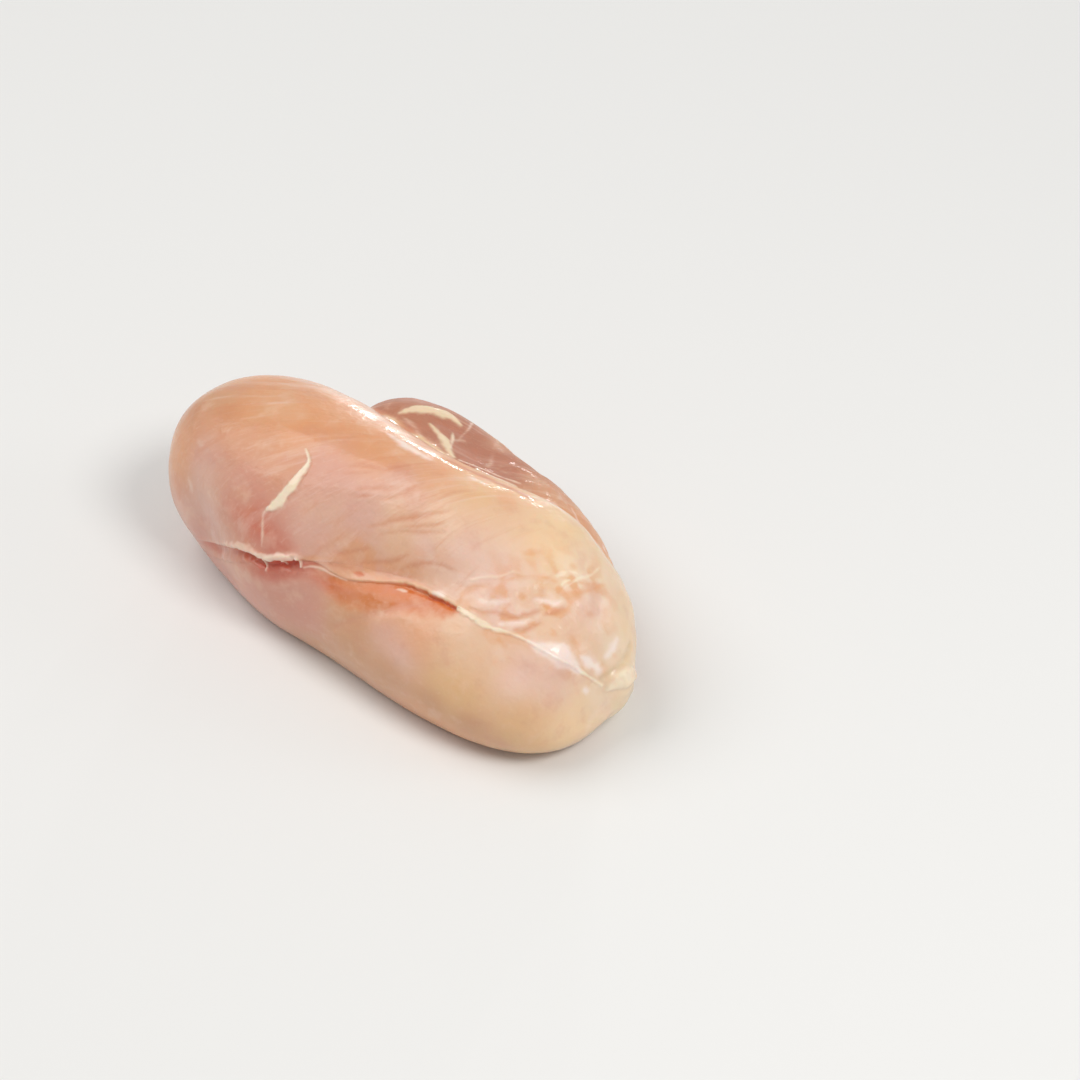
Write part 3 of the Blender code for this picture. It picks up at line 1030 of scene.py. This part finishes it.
def open_cleft(skin, line, values):
    """The gap under the torn lip of the main lobe, and the raw strip below it."""
    index, distance, side, share, across = near_line(skin.points, skin.normals, line, CLEFT_REACH)
    steps = np.arange(len(values))
    depth, lip, raw = (np.interp(share, steps, column) for column in values.T)
    ragged = skin.ragged[index]
    place = distance * side / MM + ragged * 0.45 * depth
    below = place + 0.5 * lip
    rightward = smooth_step(0.42, 0.56, share / share.max())
    leftward = 1 - rightward
    reach = 1 + leftward * 0.8

    # The gap, the raw strip and the lip's edge.
    pit = hump(below, -0.9 * reach, 0.8 * reach) * depth**2 * (1 - 0.5 * rightward)
    middle = hump(share / share.max(), 0.72, 0.20)
    wide = 0.6 + 2.4 * raw + 1.6 * leftward * raw + 5.4 * middle
    strip = smooth_step(-wide - 3.0, -wide + 1.2, below + 0.2 * ragged) * smooth_step(0.3, -0.4, below)
    strip *= np.clip(2.5 * raw, 0, 1)
    edge = hump(place, 0.5 + 0.4 * lip, 0.7 + 0.4 * lip)
    height = -1.5 * pit - 0.5 * strip + edge * (0.30 * depth**2 + 0.45 * lip) * (1 + 0.6 * ragged)
    skin.raise_by(index, height * MM)

    # The lip leans over the gap.
    overhang = hump(place, 0.2, 0.7) * depth**2 * (0.15 + 0.25 * lip)
    undercut = hump(below, -1.2, 0.8) * depth * 0.2
    skin.move[index] += across * ((undercut - overhang) * MM)[:, None]

    # Raw flesh, its orange darkened on the right as painted shade in the strip's hollow, dark depth and
    # pale lip.
    raw_orange_and_shade_colour = RAW_ORANGE_AND_SHADE + (ORANGE - RAW_ORANGE_AND_SHADE) * np.clip(depth - 0.3, 0, 1)[:, None]
    skin.cover(index, raw_orange_and_shade_colour, strip * rightward * (0.88 + 0.2 * ragged))
    skin.cover(index, RED_FLESH, strip * leftward * 0.95)
    dark = smooth_step(-1.6 - 1.2 * reach, -0.5 - 0.8 * reach, below)
    dark = dark * smooth_step(0.2, -0.1, below) * depth
    skin.cover(index, BLOOD, dark * (0.85 - 0.60 * rightward))
    upper = 1 - smooth_step(0.1 + 1.2 * lip, 0.8 + 1.9 * lip, place + 0.5 * ragged)
    band = smooth_step(-0.10, 0.25, below) * upper
    pale = band * np.clip(0.45 * depth + 0.65 * lip, 0, 1) * (1 - 0.4 * rightward)
    edge_colour = FILM * leftward[:, None] + YELLOW_FAT * rightward[:, None]
    skin.cover(index, edge_colour, pale * 0.85)
    skin.fat[index] = np.maximum(skin.fat[index], pale * 0.6)


def add_stroke(skin, line, widths, kind):
    """One streak, vein, glint or fold along a line."""
    rise, edge, colour, cover, fat = STROKE_KINDS[kind]
    widest = widths.max() / PIXELS_PER_MM + 2 * edge + 0.6
    index, distance, _, share, _ = near_line(skin.points, skin.normals, line, widest * MM)
    width = np.interp(share, np.arange(len(widths)), widths[:, 0]) / PIXELS_PER_MM
    wander = skin.ragged[index] * 0.45 * np.minimum(width, 1.0) + skin.patchy[index] * 0.6 * width
    inside = 1 - smooth_step(-edge, edge, distance / MM + wander - width)
    inside *= smooth_step(0, 0.3, width)
    skin.raise_by(index, inside * rise * MM * (1 + 0.3 * skin.ragged[index]))
    skin.cover(index, colour, inside * cover)
    skin.fat[index] = np.maximum(skin.fat[index], inside * fat)


def refine(mesh, lines, reach):
    """Halves the cells near some lines."""
    points = vertex_array(mesh, "vertices", "co")
    normals = vertex_array(mesh, "vertex_normals", "vector")
    close = np.zeros(len(points), bool)
    for line in lines:
        close[near_line(points, normals, line, reach)[0]] = True
    builder = bmesh.new()
    builder.from_mesh(mesh)
    edges = [edge for edge in builder.edges if all(close[vertex.index] for vertex in edge.verts)]
    bmesh.ops.subdivide_edges(builder, edges=edges, cuts=1, use_grid_fill=True)
    builder.to_mesh(mesh)
    builder.free()
    mesh.update()


def streakiness(skin):
    """How much the fibres show at each point: less on the front and back lobes, in fat and at the tip."""
    streaky = np.where(skin.on_front, 0.30, np.where(skin.back < skin.main, 0.55, 1.0))
    streaky += 0.8 * smooth_step(25, 45, skin.points[:, 1] / MM)
    streaky *= 1 - np.clip(skin.fat, 0, 1)
    streaky *= 1 - 0.85 * smooth_step(0.30, 0.60, skin.points[:, 0] / (LENGTH / 2))
    return streaky


def wetness(skin, surface):
    """How much of the wet film each point has."""
    behind = smooth_step(-1, 1, (skin.main - skin.back) / MM)
    wet = WETNESS - BACK_DRYNESS * behind
    for (bell,) in bells(skin.points, surface, DULL):
        wet *= 1 - DULLING * bell
    return wet


def store(mesh, name, kind, field_name, values):
    """Keeps a value of each point for the material."""
    attribute = mesh.attributes.new(name, kind, "POINT")
    attribute.data.foreach_set(field_name, np.ascontiguousarray(values, np.float32).ravel())


def shape_breast(camera):
    """The visible breast's mesh, with its relief and its colours."""
    mesh = remeshed(ray_mesh())
    swell(mesh, Surface(mesh, camera))
    surface = Surface(mesh, camera)
    cleft, cleft_values = traced(surface, CLEFT)
    strokes = [(kind, *traced(surface, rows)) for kind, rows in listed(SEEN_STROKES)]
    strokes += [(kind, *traced(surface, rows, BACK_LOBE)) for kind, rows in listed(BACK_STROKES)]
    strokes += [(kind, *laid_round(surface, rows)) for kind, rows in listed(HIDDEN_STROKES)]
    strokes += scattered_veins(surface)
    strokes = [stroke for stroke in strokes if len(stroke[1]) > 1]
    fine = [line for kind, line, _ in strokes if kind in CRISP_KINDS]
    refine(mesh, fine + [cleft], FINEST_REACH)
    refine(mesh, [cleft], FINE_REACH)
    skin = Skin(mesh)
    paint_patches(skin, surface)
    paint_lobes(skin)
    add_lumps(skin)
    wrinkle(skin, surface)
    open_cleft(skin, cleft, cleft_values)
    for kind, line, widths in strokes:
        add_stroke(skin, line, widths, kind)
    skin.points += skin.move
    skin.points[:, 2] = np.maximum(skin.points[:, 2], 0)
    mesh.vertices.foreach_set("co", skin.points.ravel())
    store(mesh, "tint", "FLOAT_COLOR", "color", np.hstack([skin.colour, np.ones((len(skin.colour), 1))]))
    store(mesh, "streaky", "FLOAT", "value", streakiness(skin))
    store(mesh, "wet", "FLOAT", "value", wetness(skin, surface))
    store(mesh, "fibres", "FLOAT_VECTOR", "vector", np.stack(fibre_places(skin), axis=1))
    mesh.update()
    mesh.shade_smooth()
    return mesh


class Nodes:
    """Short ways to add a material's nodes."""

    def __init__(self, name):
        self.material = bpy.data.materials.new(name)
        self.material.use_nodes = True
        self.tree = self.material.node_tree
        self.shader = self.tree.nodes["Principled BSDF"]

    def link(self, value, socket):
        if isinstance(value, bpy.types.NodeSocket):
            self.tree.links.new(value, socket)
        else:
            socket.default_value = value

    def attribute(self, name, output="Fac"):
        node = self.tree.nodes.new("ShaderNodeAttribute")
        node.attribute_name = name
        return node.outputs[output]

    def math(self, operation, first, second=0.0, third=0.0):
        node = self.tree.nodes.new("ShaderNodeMath")
        node.operation = operation
        for value, socket in zip((first, second, third), node.inputs):
            self.link(value, socket)
        return node.outputs[0]

    def scaled(self, vector, scale):
        node = self.tree.nodes.new("ShaderNodeVectorMath")
        node.operation = "MULTIPLY"
        self.link(vector, node.inputs[0])
        node.inputs[1].default_value = scale
        return node.outputs[0]

    def noise(self, vector, scale, detail, rough):
        """Noise between 0 and 1 that averages one half."""
        node = self.tree.nodes.new("ShaderNodeTexNoise")
        self.link(vector, node.inputs["Vector"])
        node.inputs["Scale"].default_value = scale
        node.inputs["Detail"].default_value = detail
        node.inputs["Roughness"].default_value = rough
        return node.outputs["Fac"]

    def ramp(self, value, low, high, start, end):
        """A smooth step from one number to another while the value goes from low to high."""
        node = self.tree.nodes.new("ShaderNodeMapRange")
        node.interpolation_type = "SMOOTHSTEP"
        self.link(value, node.inputs["Value"])
        for name, number in zip(("From Min", "From Max", "To Min", "To Max"), (low, high, start, end)):
            node.inputs[name].default_value = number
        return node.outputs[0]

    def mix(self, share, first, second):
        node = self.tree.nodes.new("ShaderNodeMix")
        node.data_type = "RGBA"
        self.link(share, node.inputs["Factor"])
        self.link(first, node.inputs[6])
        self.link(second, node.inputs[7])
        return node.outputs[2]

    def bump(self, height, strength, socket):
        node = self.tree.nodes.new("ShaderNodeBump")
        node.inputs["Strength"].default_value = strength
        node.inputs["Distance"].default_value = BUMP_DEPTH
        self.link(height, node.inputs["Height"])
        self.link(node.outputs["Normal"], self.shader.inputs[socket])


def flesh():
    """Moist flesh: fibres, mottling and a wet film."""
    nodes = Nodes("raw_flesh")
    shader = nodes.shader
    place = nodes.tree.nodes.new("ShaderNodeTexCoord").outputs["Object"]
    fibre = nodes.attribute("fibres", "Vector")
    lean = nodes.attribute("streaky")
    broad = nodes.noise(nodes.scaled(fibre, BROAD_FIBRES), 1.0, 3.0, 0.6)
    fine = nodes.noise(nodes.scaled(fibre, FINE_FIBRES), 1.0, 3.0, 0.6)
    mottle = nodes.noise(place, MOTTLING, 3.0, 0.6)
    specks = nodes.noise(place, SPECKS, 2.0, 0.6)
    zones = nodes.noise(place, ZONES, 2.0, 0.5)
    sinews = nodes.noise(nodes.scaled(fibre, SINEWS), 1.0, 4.0, 0.6)
    tints = (
        (nodes.ramp(zones, 0.52, 0.72, 0.0, 0.25), PALE),
        (nodes.ramp(zones, 0.48, 0.28, 0.0, 0.20), PINK),
        (nodes.math("MULTIPLY", nodes.ramp(broad, 0.52, 0.72, 0.0, 0.26), lean), WARM_FIBRE),
        (nodes.math("MULTIPLY", nodes.ramp(sinews, 0.54, 0.70, 0.0, 0.26), lean), SINEW),
        (nodes.math("MULTIPLY", nodes.ramp(fine, 0.55, 0.75, 0.0, 0.16), lean), PALE_FIBRE),
        (nodes.ramp(mottle, 0.52, 0.75, 0.0, 0.28), PALE_MOTTLE),
        (nodes.ramp(mottle, 0.48, 0.25, 0.0, 0.24), DARK_MOTTLE),
        (nodes.ramp(specks, 0.55, 0.80, 0.0, 0.08), PALE_SPECK),
    )
    colour = nodes.attribute("tint", "Color")
    for share, tint in tints:
        colour = nodes.mix(share, colour, (*tint, 1))
    nodes.link(colour, shader.inputs["Base Color"])

    height = nodes.math("MULTIPLY", broad, 0.16)
    height = nodes.math("MULTIPLY_ADD", fine, 0.035, height)
    height = nodes.math("MULTIPLY", height, lean)
    height = nodes.math("MULTIPLY_ADD", nodes.noise(place, PITS, 2.0, 0.5), 0.16, height)
    height = nodes.math("MULTIPLY_ADD", mottle, 0.30, height)
    height = nodes.math("MULTIPLY_ADD", specks, 0.035, height)
    nodes.bump(height, 1.0, "Normal")
    nodes.bump(height, 0.8, "Coat Normal")

    wet = nodes.attribute("wet")
    dry = nodes.ramp(wet, 0.05, 0.50, 0.36, 0.0)
    nodes.link(nodes.math("ADD", nodes.ramp(mottle, 0.3, 0.7, 0.36, 0.52), dry), shader.inputs["Roughness"])
    nodes.link(wet, shader.inputs["Coat Weight"])
    shader.inputs["Coat Roughness"].default_value = 0.14
    shader.inputs["Subsurface Weight"].default_value = 0.40
    shader.inputs["Subsurface Radius"].default_value = (1.0, 0.42, 0.25)
    shader.inputs["Subsurface Scale"].default_value = 2.6 * MM
    shader.inputs["IOR"].default_value = 1.40
    return nodes.material


def make_floor():
    mesh = bpy.data.meshes.new("floor")
    builder = bmesh.new()
    bmesh.ops.create_grid(builder, x_segments=1, y_segments=1, size=FLOOR_SIZE)
    builder.to_mesh(mesh)
    builder.free()
    floor = placed("floor", mesh)
    nodes = Nodes("pale_floor")
    nodes.shader.inputs["Base Color"].default_value = FLOOR_COLOUR
    nodes.shader.inputs["Roughness"].default_value = FLOOR_ROUGHNESS
    mesh.materials.append(nodes.material)


def area_light(name, azimuth, elevation, distance, size, power, colour):
    """A soft box that faces the breast from an angle round from +X and an angle up."""
    data = bpy.data.lights.new(name, "AREA")
    data.shape = "ELLIPSE"
    data.size, data.size_y = size
    data.energy = power
    data.color = colour
    light = placed(name, data)
    round_angle, rise = math.radians(azimuth), math.radians(elevation)
    heading = Vector(
        (
            math.cos(round_angle) * math.cos(rise),
            math.sin(round_angle) * math.cos(rise),
            math.sin(rise),
        )
    )
    light.location = Vector((0, 0, HEIGHT / 2)) + heading * distance
    light.rotation_euler = heading.to_track_quat("Z", "Y").to_euler()


def make_lights():
    for light in LIGHTS:
        area_light(*light)
    world = bpy.data.worlds.new("studio")
    world.use_nodes = True
    background = world.node_tree.nodes["Background"]
    background.inputs["Color"].default_value = (*WHITE, 1)
    background.inputs["Strength"].default_value = WORLD_STRENGTH
    bpy.context.scene.world = world
    bpy.context.scene.view_settings.view_transform = "Standard"


def make_breast(camera):
    mesh = shape_breast(camera)
    breast = placed("raw_breast", mesh)
    mesh.materials.clear()
    mesh.materials.append(flesh())
    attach(breast, "root")
    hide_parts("breast")


make_breast(make_camera())
make_floor()
make_lights()
